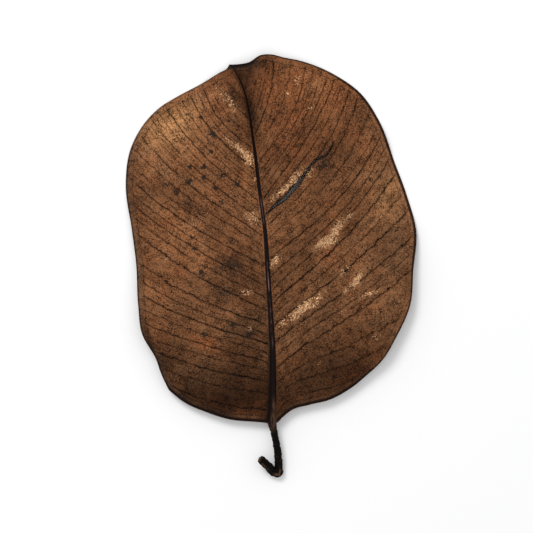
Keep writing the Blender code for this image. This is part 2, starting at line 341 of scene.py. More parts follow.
# One half of the middle sheet: plan, height and everything that a later step or the finish needs. The
# tear bends the veins beside it, pushes its two lips apart and lifts the upper one.
def makeHalf(side, rows, tearRow):
    length = np.linalg.norm(marginPoint(blade[side + "Margin"], rows) - midribPoint(rows), axis=1)
    ribWidth = np.minimum(fromTable(midrib["halfWidth"], rows), 0.25 * length)
    out = np.clip(columnShares(length, ribWidth), 0, 1)
    out[-1] = np.linspace(0, 1, out.shape[1])
    vein = np.repeat(rows[:, None], out.shape[1], axis=1)
    upperRow = (np.arange(len(rows)) > tearRow)[:, None]
    if side == "right":
        bend = np.maximum(0, 1 - np.abs(vein - tear["vein"]) / tear["bend"]) ** 2
        vein = vein + bend * (fromTable(tear["course"], out) - tear["vein"])
    plan = bladePlan(side, out, vein)
    height = bladeHeight(side, out, vein)
    number, strength = veinNumbers(side, vein)
    ahead = np.gradient(plan, axis=0)
    stepLength = np.maximum(np.linalg.norm(ahead, axis=-1), 1e-6)
    outward = np.gradient(plan, axis=1)
    outward /= np.maximum(np.linalg.norm(outward, axis=-1, keepdims=True), 1e-9)
    across = np.abs(ahead[..., 0] * outward[..., 1] - ahead[..., 1] * outward[..., 0])
    numberStep = np.maximum(np.gradient(number, axis=0), 1e-6)
    pitch = np.clip(across / numberStep, 0.3, 8)
    if side == "right":
        gap = straightTable(tear["opening"], out)
        away = np.abs(rows - tear["vein"])[:, None] * (blade["tipY"] - blade["baseY"])
        push = np.where(upperRow, 0.5, -0.5) * gap * np.exp(-away / tear["spread"])
        plan = plan + push[..., None] * ahead / stepLength[..., None]
        lift = np.exp(-away / tear["liftReach"]) * np.minimum(gap / tear["fullLiftOpening"], 1)
        height = height + lift * np.where(upperRow, tear["upperLift"], -tear["lowerDrop"])
        tearReach = np.where(gap > 0, away, 99.0) * np.where(upperRow, 1, -1)
    else:
        tearReach = np.full(out.shape, 99.0)
    return {
        "out": out, "vein": vein, "plan": plan, "height": height, "number": number,
        "strength": strength, "pitch": pitch, "along": out * length[:, None],
        "ribWidth": np.repeat(ribWidth[:, None], out.shape[1], axis=1), "tearReach": tearReach,
    }


# Both halves side by side in one grid, from the left margin to the right one.
def joinHalves(left, right, key):
    return np.concatenate([left[key][:, :0:-1], right[key]], axis=1)


# Shortest distance in plan from each point to the blade's outline, row by row.
def rimDistance(plan):
    fine = np.concatenate([np.linspace(0, 0.1, 300), np.linspace(0.1, 1, 900)])
    edges = [marginPoint(blade["rightMargin"], fine), marginPoint(blade["leftMargin"], fine)]
    share = np.linspace(0.04, 1, 400)
    edges += [alongCurve(blade["rightBase"], share), alongCurve(blade["leftBase"], share)]
    outline = np.concatenate(edges)
    found = np.empty(plan.shape[:2])
    for row, points in enumerate(plan):
        offset = points[:, None] - outline[None]
        found[row] = np.sqrt((offset**2).sum(-1).min(1))
    return found


# Unit normals of a surface given as a grid of points, from the cross product of its two directions, and
# straight up where that is too steep to trust.
def gridNormals(points):
    ahead, across = np.gradient(points, axis=0), np.gradient(points, axis=1)
    normal = np.cross(across, ahead)
    size = np.linalg.norm(normal, axis=-1, keepdims=True)
    normal = np.where(size > 1e-9, normal / np.maximum(size, 1e-9), [0.0, 0.0, 1.0])
    steep = normal[..., 2:3] < 0.3
    return np.where(steep, [0.0, 0.0, 1.0], normal)


# Rings round the stalk: each is a circle square to the course, with lengthwise ridges and lumps, and
# squeezed on the inside of the bend so that it never crosses the bend's centre. The first few pass over
# from the ring at the midrib's foot.
def stalkRings(firstRing):
    share = np.linspace(0, 1, stalk["rings"] + 1)
    course = alongCurve(stalk["course"], share)
    centre, radius = course[:, :3], course[:, 3]
    heading = np.gradient(centre, axis=0)
    step = np.linalg.norm(heading, axis=1)
    heading /= step[:, None]
    sideways = np.cross([0.0, 0.0, 1.0], heading)
    sideways /= np.linalg.norm(sideways, axis=1)[:, None]
    upwards = np.cross(heading, sideways)
    turn = np.linalg.norm(np.gradient(heading, axis=0), axis=1) / step
    bend = 1 / np.maximum(turn, 1e-3)
    count = len(firstRing)
    angle = np.arange(count) / count * 2 * np.pi - np.pi / 2
    run = runLength(centre)
    rng = np.random.RandomState(stalk["seed"])
    shape = np.ones((len(run), count))
    for ridges in stalk["ridgeCounts"]:
        drift = np.cumsum(rng.normal(0, 0.12, len(run)))
        size, start = rng.uniform(0.3, 0.7), rng.uniform(0, 6)
        shape += stalk["ridges"] * size * np.cos(ridges * angle[None] + start + drift[:, None])
    for length in stalk["lumpLengths"]:
        swell = rng.uniform(0, 6) + 0.8 * np.sin(angle)[None]
        shape += stalk["lumps"] * np.cos(run[:, None] * 2 * np.pi / length + swell)
    across = np.sin(angle)[None] * radius[:, None] * shape
    above = np.cos(angle)[None] * radius[:, None] * shape
    across = np.maximum(across, -0.85 * bend[:, None])
    rings = centre[:, None] + across[..., None] * sideways[:, None] + above[..., None] * upwards[:, None]
    settle = np.maximum(0, 1 - run / stalk["settle"])[:, None, None] ** 2
    rings = rings + settle * (firstRing - rings[0])
    rings[..., 2] = np.maximum(rings[..., 2], stalk["lowest"])
    # the broken end is pushed in and out along the last heading
    end, last = rings[-1], centre[-1]
    inner = []
    for size, depth in stalk["endRings"]:
        rough = rng.normal(0, 0.5, count)
        rough = (rough + np.roll(rough, 1) + np.roll(rough, -1)) / 2
        push = stalk["endRoughness"] * (depth + 0.35 * rough)
        inner.append(last + (end - last) * size + push[:, None] * heading[-1])
    rings = np.concatenate([rings, inner])
    run = np.append(run, np.full(len(inner), run[-1]))
    return rings, last - 0.1 * heading[-1], run


# The middle sheet of the whole blade as a grid, with its distances to the rim and the midrib.
def makeSheet():
    rows, tearRow = rowVeins()
    right, left = makeHalf("right", rows, tearRow), makeHalf("left", rows, tearRow)
    sheet = {key: joinHalves(left, right, key) for key in right}
    plan, height = sheet["plan"], sheet["height"]
    middle = left["out"].shape[1] - 1
    sheet["column"] = np.arange(-middle, plan.shape[1] - middle)
    sheet["rim"] = rimDistance(plan)
    sheet["offset"] = sheet["along"] - sheet["ribWidth"]
    besideRib = np.maximum(sheet["offset"], 0)
    waves = waveSum(plan[..., 0], plan[..., 1], **sheetWaves)
    height = height + waves * smoothStep(0, 6, sheet["rim"]) * smoothStep(0, 4, besideRib)
    furrow = np.exp(-((besideRib / midrib["furrowWidth"]) ** 2))
    furrow *= fromTable(midrib["furrow"], sheet["vein"])
    height = np.maximum(height - furrow * smoothStep(0, 3, sheet["rim"]), blade["thickness"] / 2)
    sheet["points"] = np.concatenate([plan, height[..., None]], axis=-1)
    opening = straightTable(tear["opening"], right["out"][tearRow])
    sheet["split"] = np.concatenate([np.zeros(middle, bool), opening > 0])
    return sheet, tearRow, middle


# Upper and lower skins: half the thickness out along the normal, rounded off at the rim, with the
# midrib's half round, a groove over each side vein and a ridge under it, and a cushion between veins.
def liftSkins(sheet):
    points = sheet["points"]
    normal = gridNormals(points)
    fromVein = np.abs(sheet["number"] - np.round(sheet["number"])) * sheet["pitch"]
    veinShape = np.exp(-((fromVein / sideVeins["grooveWidth"]) ** 2)) * sheet["strength"]
    cushion = -np.cos(2 * np.pi * sheet["number"]) * sideVeins["quilt"] * sheet["strength"]
    clear = smoothStep(0, 1.2, sheet["offset"]) * smoothStep(0.8, 4, sheet["rim"])
    ribShape = np.cos(np.clip(sheet["column"] / midrib["columns"], -1, 1) * np.pi / 2)
    over = fromTable(midrib["above"], sheet["vein"]) * ribShape
    under = fromTable(midrib["below"], sheet["vein"]) * ribShape
    inside = np.minimum(sheet["rim"] / blade["rimRound"], 1)
    half = blade["thickness"] / 2 * np.sqrt(1 - (1 - inside) ** 2)
    up = half + over + clear * (cushion - sideVeins["groove"] * veinShape)
    down = half + under + clear * (sideVeins["ridgeBelow"] * veinShape - cushion)
    top = points + normal * up[..., None]
    bottom = points - normal * down[..., None]
    bottom[..., 2] = np.clip(bottom[..., 2], 0, top[..., 2])
    return top, bottom


# Numbers of the points in the upper and lower grids, shared along the rims, the foot and the tip, and
# shared between the tear's two rows wherever it is closed.
def numberSkins(shape, split, tearRow, middle):
    topId = np.arange(shape[0] * shape[1]).reshape(shape)
    bottomId = topId + topId.size
    topId[-1], bottomId[-1] = topId[-1, 0], topId[-1, 0]
    bottomId[:, 0], bottomId[:, -1] = topId[:, 0], topId[:, -1]
    beside = np.abs(np.arange(shape[1]) - middle) >= midrib["columns"]
    bottomId[0] = np.where(beside, topId[0], bottomId[0])
    for ids in (topId, bottomId):
        ids[tearRow + 1] = np.where(split, ids[tearRow + 1], ids[tearRow])
    shared = np.unique(np.concatenate([topId[:, 0], topId[:, -1], topId[0, beside], topId[-1, :1]]))
    return topId, bottomId, shared


# Four-cornered faces between neighbouring rows of point numbers, facing the side from which the rows run
# up and the columns run right.
def stripFaces(lower, upper):
    corners = [lower[..., :-1], lower[..., 1:], upper[..., 1:], upper[..., :-1]]
    return np.stack(corners, axis=-1).reshape(-1, 4)


# The whole leaf is one closed skin: upper and lower grids, a wall along each lip of the tear, and the
# stalk's rings from the midrib's foot to the broken end.
def makeLeaf():
    sheet, tearRow, middle = makeSheet()
    top, bottom = liftSkins(sheet)
    shape = top.shape[:2]
    topId, bottomId, shared = numberSkins(shape, sheet["split"], tearRow, middle)
    points = np.concatenate([top.reshape(-1, 3), bottom.reshape(-1, 3)])
    points[shared] = sheet["points"].reshape(-1, 3)[shared]

    ribLeft, ribRight = middle - midrib["columns"], middle + midrib["columns"]
    overRib, underRib = topId[0, ribLeft : ribRight + 1], bottomId[0, ribRight - 1 : ribLeft : -1]
    firstRing = np.concatenate([overRib, underRib])
    rings, stalkEnd, stalkRun = stalkRings(points[firstRing])
    ringIds = np.arange(rings.size // 3).reshape(-1, len(firstRing)) + len(points) - len(firstRing)
    ringIds[0] = firstRing
    points = np.concatenate([points, rings[1:].reshape(-1, 3), [stalkEnd]])

    strips = np.array([row for row in range(shape[0] - 2) if row != tearRow])
    topFaces = stripFaces(topId[strips], topId[strips + 1])
    bottomFaces = stripFaces(bottomId[strips], bottomId[strips + 1])[:, ::-1]
    lips = np.flatnonzero(sheet["split"])
    lips = np.arange(lips[0] - 1, lips[-1] + 2)
    lowerLip = stripFaces(bottomId[tearRow, lips], topId[tearRow, lips])[:, ::-1]
    upperLip = stripFaces(bottomId[tearRow + 1, lips], topId[tearRow + 1, lips])
    around = np.concatenate([ringIds, ringIds[:, :1]], axis=1)
    stalkFaces = stripFaces(around[1:], around[:-1])
    quads = np.concatenate([topFaces, bottomFaces, lowerLip, upperLip, stalkFaces])
    tip = np.full(shape[1] - 1, topId[-1, 0])
    topTip = np.stack([topId[-2, :-1], topId[-2, 1:], tip], -1)
    bottomTip = np.stack([bottomId[-2, 1:], bottomId[-2, :-1], tip], -1)
    cap = np.stack([around[-1, 1:], around[-1, :-1], np.full(len(firstRing), len(points) - 1)], -1)
    triangles = np.concatenate([topTip, bottomTip, cap])
    print("quads", len(quads), "triangles", len(triangles))
    return points, quads, triangles, sheet, stalkRun, middle


# Soft ovals added up, each (X, Y, half length, half width, turn in degrees, amount).
def ovals(marks, x, y):
    summed = np.zeros_like(x)
    for centreX, centreY, longHalf, shortHalf, turn, amount in marks:
        a = np.radians(turn)
        along = ((x - centreX) * np.cos(a) + (y - centreY) * np.sin(a)) / longHalf
        across = ((y - centreY) * np.cos(a) - (x - centreX) * np.sin(a)) / shortHalf
        summed += amount * np.exp(-(along**2 + across**2))
    return summed


# Where the leaf is lighter or darker, partly its own tone and partly painted light and shade, flaked
# down to its pale inside, or spotted with mould, with painted shadow among the mould marks.
leafMarks = {
    # lighter and darker: the leaf's own tone, darker towards the foot, with a painted highlight at the
    # upper left and painted shade in the fold at the tip and beside the midrib just below it
    "tone": [
        (-24, 0, 20, 24, 0, 0.16), (-34, 46, 13, 9, 38, 0.95), (-22, 42, 9, 7, 30, 0.25),
        (-24, 26, 14, 14, 0, 0.2), (-38, 22, 5, 8, 0, -0.15), (39, 24, 9, 18, 0, 0.68),
        (36, -8, 10, 13, 0, 0.22), (14, 58, 11, 8, -20, 0.5), (4, 33, 7, 8, 0, 0.05),
        (18, 38, 9, 5, 40, -0.3), (20, 12, 10, 12, 40, 0.15), (-14, 8, 13, 10, 0, 0.1),
        (-28, 6, 8, 8, 0, 0.2), (-8, -22, 8, 15, 0, -0.3), (-23, -20, 10, 8, -20, 0.3),
        (-14, -43, 22, 11, 0, -1.15), (12, -38, 22, 11, 20, -0.6), (26, -33, 11, 8, 35, -0.42),
        (5, -34, 3.5, 8, 0, 0.35), (-34, -30, 12, 11, 40, -0.28), (-14, -4, 12, 9, 0, -0.16),
        (36, -16, 9, 13, -20, -0.12), (-10.5, 67, 6, 1, 4, -1.4), (-8, 64, 3.4, 3.4, 0, -0.8),
        (-3, 66.5, 5, 2, 25, -0.5), (-6.4, 60.5, 2.2, 6.5, 20, -0.55),
        (-11.8, 56.6, 5, 2.2, -64, -0.75), (-8.2, 53, 5, 1.8, -64, -0.45), (-5.4, 50, 2, 9, 8, -0.35),
        (-13.5, 0.2, 3.4, 2.4, 20, -0.5), (-16, -9.8, 3.4, 3.4, 0, -0.5), (-10, -4, 3.5, 14, 12, -0.18),
        (-27, 19.6, 7, 3.4, -35, -0.3), (-9, -24, 6, 5, 0, -0.2), (-20, 56, 12, 3.5, 34, 0.3),
        (-37, 12, 6, 12, 0, 0.2), (-4, 20, 4, 16, 8, 0.12), (5, 0, 6, 18, 0, -0.14),
        (38, 7, 6, 6, 0, -0.34), (38, 20, 5, 5, 0, 0.12), (-7, -50, 5, 1.1, -3, 0.75),
        (14, 59, 5, 5, 0, 0.1), (-18, 59, 5, 4, 0, -0.2), (36, -16, 6, 6, 0, 0.2),
        (27, -36, 7, 6, 40, -0.22), (-14, -46, 8, 4, 0, -0.25), (-38, 28, 5, 5, 0, -0.2),
        (-39.2, -28.2, 7, 0.8, -73, -1.3), (-37.4, -33.2, 1.2, 1, 0, -1), (16, 28, 6, 5, 0, -0.2),
        (-22, -28, 10, 8, 0, 0.15),
    ],
    "warm": [
        (4, 59, 24, 8, -8, 0.8), (6, 42, 9, 10, 0, 0.9), (18, 46, 10, 10, 0, 0.5),
        (40, 14, 9, 26, 0, -1), (14, -16, 16, 10, 30, -0.6), (-26, -36, 8, 6, 30, -0.7),
        (-8, -48, 16, 4, 0, 1.2), (30, -37, 8, 6, 40, 1.1), (-38, -24, 5, 5, 0, 0.6),
        (-5, 16, 4, 8, 0, -0.6), (-37, 38, 8, 8, 0, -0.5), (-36, 48, 10, 8, 38, -0.7),
        (-18, -22, 16, 12, 0, -0.6), (37, -15, 6, 7, 0, -0.5), (-6, -46, 20, 6, 0, 0.5),
        (-24, -25, 8, 3, -25, 0.9), (-17, -27, 8, 3, -15, 0.7),
    ],
    "rubbed": [
        (-4.1, -64.3, 0.9, 0.5, 50, 1.1), (-2, -66.6, 2.4, 0.35, -42, 0.9), (2, -69.4, 1.3, 0.7, 0, 1),
        (3, -68.4, 0.4, 1.2, 0, 0.9), (3.3, -65, 0.4, 1.4, 0, 0.5), (1.4, -58.5, 0.3, 2, 12, 0.5),
    ],
    "flake": [
        (-7.4, 34.8, 2.4, 1.4, -62, 1.3), (-9.8, 38, 2.4, 1.1, -42, 1),
        (-14.2, 41.2, 2.8, 0.7, -40, 0.6), (-5.3, 28.2, 0.9, 0.7, -40, 0.75),
        (-6.1, 15.5, 2.6, 1.5, -35, 0.62), (3, 24, 3.6, 0.9, 40, 0.95), (8, 29, 3.6, 0.9, 46, 1.1),
        (12.6, 30.6, 2, 0.9, 50, 0.95), (21.2, 11.4, 3.4, 1.2, 55, 1.35),
        (17.6, 8.4, 2.4, 0.9, 32, 1.1), (25.7, 16.2, 2, 0.55, 40, 0.95),
        (15.6, 6.4, 2.6, 0.8, 33, 0.85), (19.4, 7.4, 2.1, 1.1, 25, 1.25), (1.5, 1.5, 2, 1, 55, 1.3),
        (28.2, -4.9, 2.2, 1, 58, 1.2), (25.5, -7.5, 2.4, 0.7, 45, 0.8),
        (32.6, -9.2, 3.2, 0.55, 18, 0.9), (8.6, -15.9, 4.2, 1.1, 33, 1.2),
        (11.2, -13.4, 2.4, 1.1, 33, 1.2), (15.4, -11, 3.2, 1, 45, 0.95),
        (3.4, -19.5, 1.8, 0.6, 45, 0.7), (-7.9, -8.9, 1.9, 0.8, -5, 0.65),
        (-7.2, -20.8, 0.9, 0.8, 0, 0.55), (23.6, -15.6, 0.9, 0.8, 0, 0.55),
        (34.6, -23.8, 1.2, 0.8, 20, 0.6), (16, -32.2, 0.7, 0.6, 0, 0.55), (8.7, 61, 2.2, 0.5, 80, 0.7),
        (5.3, 56.9, 0.6, 0.4, 40, 0.75), (13.2, 52.2, 1.6, 0.5, 0, 0.55),
        (-14.2, 54.4, 5.4, 1.2, -50, 0.5), (24.5, -1.5, 4, 1.6, 40, 0.25),
    ],
    # mould spots, and among them near black painted shadow under the curled tip and in the fold left of
    # the midrib below it
    "stain": [
        (-23.1, 49, 0.8, 0.7, 0, 1.5), (-19, 43.2, 1.5, 0.8, -45, 1.35), (-19.8, 37.6, 1, 0.7, 0, 1.35),
        (-26.7, 32.4, 1.1, 0.7, 0, 1.5), (-22.1, 32.4, 1.1, 0.7, 20, 1.5),
        (-27, 27.4, 1.3, 0.8, 10, 1.5), (-22.1, 29, 0.7, 0.7, 0, 1.35), (-16.2, 29.7, 0.6, 0.5, 0, 1.8),
        (-11.2, 26.7, 1, 0.7, -30, 1.35), (-18.5, 25.4, 0.9, 0.7, 0, 1.35),
        (-31, 24.1, 0.9, 0.8, 0, 1.35), (-34.9, 26.7, 2.2, 1.4, -30, 0.6),
        (-27, 19.6, 4.6, 2, -35, 0.55), (-16.2, 20.8, 1, 0.8, 0, 0.9), (-26, 9.2, 0.7, 0.6, 0, 1.5),
        (-25.4, 5.3, 0.9, 0.7, 0, 1.2), (-13.5, 0.2, 2.6, 1.6, 0, 0.42), (-22.8, -2.6, 1.2, 1, 0, 1.2),
        (-16, -9.8, 2.6, 2.4, 0, 0.42), (-12.7, -19.5, 1.4, 1.2, 0, 1.12),
        (-7.1, -22.8, 1.2, 1.2, 0, 1.2), (-22, -22.9, 1.6, 1, 0, 1.05), (-31, -13.6, 3, 1.2, -10, 0.5),
        (-12.4, -3.4, 7, 10, 20, 0.35), (32.7, 28.4, 0.6, 0.45, -30, 2.1),
        (21.2, 13.9, 0.6, 0.5, 0, 1.5), (17.8, 33.4, 2.4, 1.9, 30, 0.85), (15.6, 32, 1.4, 1, 30, 0.5),
        (-12.2, 55.6, 5, 1.5, -65, 0.42), (-6, 42.6, 0.8, 0.5, -60, 0.9),
        (-40.6, 50.2, 0.8, 0.5, 45, 1.2), (-27.5, 50, 0.6, 0.5, 0, 1.2), (-10.2, 66.8, 5.6, 1.4, 6, 2),
        (-12.8, 66.2, 1.6, 1, 0, 0.9), (-25, 44.5, 2.2, 1, -35, 0.35), (7, 43, 5, 6, 0, 0.3),
        (-22, 12, 5, 3, -30, 0.3), (28, 6, 5, 1.6, 45, 0.35),
    ],
}


# A value for each point of the skin: the grid's for its upper and lower faces, then the stalk's.
def overSkin(grid, stalkValue, stalkPoints):
    return np.concatenate([grid.ravel(), grid.ravel(), np.broadcast_to(stalkValue, stalkPoints)])


# Everything that the finish reads at each point of the skin, as the sheet's own value and the stalk's.
def makeFields(sheet, points, stalkRun, ringSize, middle):
    x, y = sheet["plan"][..., 0], sheet["plan"][..., 1]
    sideSign = np.where(np.arange(x.shape[1]) < middle, -1.0, 1.0)[None]
    ribReach = sheet["along"] / np.maximum(sheet["ribWidth"], 1e-3) * sideSign
    stalkPoints = len(points) - 2 * x.size
    run = np.append(np.repeat(stalkRun[1:], ringSize), stalkRun[-1])
    # the painted shade along the tear's lips goes in with the mould marks
    tearLipShade = tear["lipShade"] * np.exp(-((sheet["tearReach"] / tear["lipShadeReach"]) ** 2))
    fields = {
        "tone": (ovals(leafMarks["tone"], x, y), 0.0),
        "warm": (ovals(leafMarks["warm"], x, y), 0.0),
        "flake": (ovals(leafMarks["flake"], x, y), 0.0),
        "stain": (ovals(leafMarks["stain"], x, y) + tearLipShade, 0.0),
        "rim": (sheet["rim"], 9.0),
        "ribReach": (np.clip(ribReach, -40, 40), 0.0),
        "growth": (sheet["vein"], 0.0),
        "veinWeight": (sheet["strength"], 0.0),
        "veinPitch": (sheet["pitch"], 3.0),
        "stalk": (0 * x, smoothStep(0.0, 3.5, run)),
        "rubbed": (0 * x, ovals(leafMarks["rubbed"], *points[2 * x.size :, :2].T)),
    }
    fields = {name: overSkin(*values, stalkPoints) for name, values in fields.items()}
    fields["underside"] = np.repeat([0.0, 1.0, 0.0], [x.size, x.size, stalkPoints])
    return fields


# Moves and stretches the points in plan so that their box is the CAD node's box, and turns them into
# metres. Heights keep their scale, and only start where the node's box does.
def fitToCad(points, used):
    low, high = (np.array(corner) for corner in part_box("leaf"))
    mineLow, mineHigh = points[used].min(axis=0), points[used].max(axis=0)
    scale = (high - low) / (mineHigh - mineLow)
    scale[2] = mm
    print("fit to the CAD box", (scale / mm).round(4))
    return low + (points - mineLow) * scale


# The map for the veins: millimetres out along the vein, and the vein's number, with the left half's
# numbers kept well away from the right half's. A face is on the half where its corners' mean column is.
def addVeinMap(mesh, sheet, corners, quadCorners, stalkPoints):
    grids = np.broadcast_to(sheet["column"], sheet["number"].shape), sheet["number"], sheet["along"]
    column, number, along = (overSkin(grid, 0, stalkPoints)[corners] for grid in grids)
    faceColumn = np.concatenate([
        np.repeat(column[:quadCorners].reshape(-1, 4).mean(axis=1), 4),
        np.repeat(column[quadCorners:].reshape(-1, 3).mean(axis=1), 3),
    ])
    uv = np.stack([along, number + np.where(faceColumn < 0, 60.0, 0.0)], axis=-1)
    mesh.uv_layers.new(name="veinMap").data.foreach_set("uv", uv.ravel().astype(np.float32))


def makeLeafObject():
    points, quads, triangles, sheet, stalkRun, middle = makeLeaf()
    fields = makeFields(sheet, points, stalkRun, 4 * midrib["columns"], middle)
    corners = np.concatenate([quads.ravel(), triangles.ravel()])
    used, renumbered = np.unique(corners, return_inverse=True)
    quadFaces = renumbered.reshape(-1)[: quads.size].reshape(-1, 4).tolist()
    triangleFaces = renumbered.reshape(-1)[quads.size :].reshape(-1, 3).tolist()
    mesh = bpy.data.meshes.new("driedLeaf")
    mesh.from_pydata(fitToCad(points, used)[used], [], quadFaces + triangleFaces)
    for name, values in fields.items():
        layer = mesh.attributes.new(name, "FLOAT", "POINT")
        layer.data.foreach_set("value", values[used].astype(np.float32))
    addVeinMap(mesh, sheet, corners, quads.size, len(points) - 2 * sheet["number"].size)
    mesh.shade_smooth()
    state = "repaired" if mesh.validate() else "sound"
    print("leaf", len(mesh.vertices), "points", len(mesh.polygons), "faces", state)
    leaf = bpy.data.objects.new("driedLeaf", mesh)
    bpy.context.scene.collection.objects.link(leaf)
    return leaf


# The leaf's own material, and small makers that add nodes to it. A source is a socket, number or colour.
dryLeafBrown = bpy.data.materials.new("dryLeafBrown")
dryLeafBrown.use_nodes = True
tree = dryLeafBrown.node_tree
on = SimpleNamespace()  # what the finish knows at a point of the leaf


def feed(source, socket):
    if isinstance(source, bpy.types.NodeSocket):
        tree.links.new(source, socket)
    elif source is not None:
        socket.default_value = source


def addNode(kind, sources, output=0, **settings):
    node = tree.nodes.new("ShaderNode" + kind)
    for name, value in settings.items():
        setattr(node, name, value)
    for key, source in sources.items():
        feed(source, node.inputs[key])
    return node.outputs[output]


def calc(operation, first, second=None, third=None):
    return addNode("Math", {0: first, 1: second, 2: third}, operation=operation)


def vectorCalc(operation, first, second):
    return addNode("VectorMath", {0: first, 1: second}, operation=operation)


def total(*sources):
    return reduce(lambda added, source: calc("ADD", added, source), sources)


def product(*sources):
    return reduce(lambda made, source: calc("MULTIPLY", made, source), sources)


# 0 below the first value and 1 above the second, or the other way round when the first is larger.
def fade(value, start, end):
    low, high, first, last = (start, end, 0.0, 1.0) if start < end else (end, start, 1.0, 0.0)
    sources = {"Value": value, "From Min": low, "From Max": high, "To Min": first, "To Max": last}
    return addNode("MapRange", sources, interpolation_type="SMOOTHSTEP")


def blend(amount, under, over, how="MIX"):
    sources = {0: amount, 6: under, 7: over}
    return addNode("Mix", sources, output=2, data_type="RGBA", blend_type=how)


# A colour made lighter or darker by a factor.
def shaded(colour, factor):
    return blend(1.0, colour, factor, "MULTIPLY")


# Noise with features of about one over the scale in millimetres, on the leaf's own place by default.
def grain(scale, detail=2.0, roughness=0.5, place=None, output=0):
    sources = {"Vector": place or on.place, "Scale": scale, "Detail": detail, "Roughness": roughness}
    return addNode("TexNoise", sources, output=output)


# Grain that swings evenly about zero.
def swing(amount, *settings, place=None):
    return product(calc("SUBTRACT", grain(*settings, place=place), 0.5), amount)


# Scattered round specks: cells of this many to the millimetre, of which a share holds a speck.
def specks(scale, size, share, offset):
    moved = vectorCalc("ADD", on.place, (offset, -offset, 0.5 * offset))
    near = addNode("TexVoronoi", {"Vector": moved, "Scale": scale})
    chance = addNode("SeparateColor", {0: near.node.outputs["Color"]})
    return product(fade(near, size, size * 0.35), calc("LESS_THAN", chance, share))


# Places for a grain that is drawn out along the side veins.
def veinPlace(alongScale, numberScale):
    sources = {0: product(on.along, alongScale), 1: product(on.number, numberScale)}
    return addNode("CombineXYZ", sources)


leafFinish = {
    "brown": (0.151, 0.0617, 0.0250, 1.0),
    "redBrown": (0.160, 0.0565, 0.0205, 1.0),
    "dustBrown": (0.147, 0.0670, 0.0300, 1.0),
    "goldBrown": (0.140, 0.0655, 0.0262, 1.0),
    "pale": (0.46, 0.262, 0.135, 1.0),
    "orange": (0.31, 0.130, 0.050, 1.0),
    "mouldAndShadowDark": (0.0175, 0.012, 0.0085, 1.0),
    "collar": (0.084, 0.046, 0.026, 1.0),
    "rimAndShadowDark": (0.0055, 0.003, 0.0022, 1.0),
    "ribDark": (0.008, 0.004, 0.004, 1.0),
    "ribCrestHighlight": (0.26, 0.145, 0.145, 1.0),
    "under": (0.165, 0.085, 0.044, 1.0),
    "stalkDark": (0.0028, 0.0020, 0.0016, 1.0),
    "stalkBrown": (0.115, 0.06, 0.033, 1.0),
    # how strongly each pattern lightens or darkens the brown
    "lift": 0.07,
    "mottle": 1.4,
    "blotch": 3.0,
    "fine": 1.7,
    "finest": 3.4,
    "grit": 7.5,
    "fibre": 1.7,
    "ceiling": 0.25,
    "veinDark": 2.6,
    "veinHalo": 0.28,
    "faintVein": 1.1,
    "net": 0.4,
    # depth of the painted shade in the fold beside the midrib near the tip
    "tipFoldShade": 1.1,
    "paleSpecks": 0.46,
    # where each edge starts and ends: the first four in millimetres, the rib's in its half widths
    "veinEdge": (0.21, 0.05),
    "haloEdge": (0.7, 0.1),
    "collarEdge": (2.7, 1.9),
    "rimEdge": (0.75, 0.3),
    "ribEdge": (1.35, 0.95),
    "spotEdge": (0.40, 0.66),
    "flakeEdge": (0.58, 0.72),
    "shine": 0.05,
    "roughness": 0.66,
    "bump": 0.35,
    "bumpDepth": 0.00016,
}


# What the finish reads at each point: its place in millimetres, the veins' map and the attributes.
def readLeaf():
    names = ("tone", "warm", "flake", "stain", "rim", "ribReach", "growth", "veinWeight", "veinPitch")
    for name in names + ("stalk", "rubbed", "underside"):
        setattr(on, name, addNode("Attribute", {}, output=2, attribute_name=name))
    coordinates = addNode("TexCoord", {}, output=3)
    on.place = addNode("VectorMath", {0: coordinates, 3: 1 / mm}, operation="SCALE")
    veinMap = addNode("UVMap", {}, uv_map="veinMap")
    on.along = addNode("SeparateXYZ", {0: veinMap})
    on.number = on.along.node.outputs[1]
    on.fromRib = calc("ABSOLUTE", on.ribReach)
    on.clear = product(fade(on.fromRib, 1.3, 2.4), fade(on.rim, 0.6, 3.0))
    on.bark = vectorCalc("MULTIPLY", on.place, (1.0, 0.35, 1.0))
    ribPlace = vectorCalc("MULTIPLY", on.place, (1.0, 0.18, 1.0))
    on.ribGrain = grain(1.6, 3.0, place=ribPlace)


# Side veins: a thin broken line with a soft halo on each whole number, and fainter ones halfway.
def addVeinLines(look):
    wavy = total(on.number, swing(0.3, 0.33, 1.0), swing(0.2, 1.3, 1.0))
    fromVein = product(calc("PINGPONG", wavy, 0.5), on.veinPitch)
    stream = veinPlace(0.16, 1.0)
    broken = fade(grain(1.0, place=stream), 0.33, 0.55)
    on.veinLine = product(fade(fromVein, *look["veinEdge"]), on.veinWeight, broken, on.clear)
    on.veinHalo = product(fade(fromVein, *look["haloEdge"]), on.veinWeight, on.clear)
    drift = swing(0.7, 0.25, 2.0), swing(0.16, 1.4, 1.0)
    halfway = total(on.number, 0.5, *drift)
    fromFaint = product(calc("PINGPONG", halfway, 0.5), on.veinPitch)
    faintBroken = fade(grain(2.3, place=stream), 0.45, 0.62)
    on.faintLine = product(fade(fromFaint, 0.2, 0.05), faintBroken, on.clear)


# The finest net: edges of small cells, bent by a coloured grain.
def addNetLines():
    bent = vectorCalc("ADD", on.place, grain(0.8, output=1))
    net = addNode("TexVoronoi", {"Vector": bent, "Scale": 0.85}, feature="DISTANCE_TO_EDGE")
    on.netLine = product(fade(net, 0.10, 0.0), on.clear)
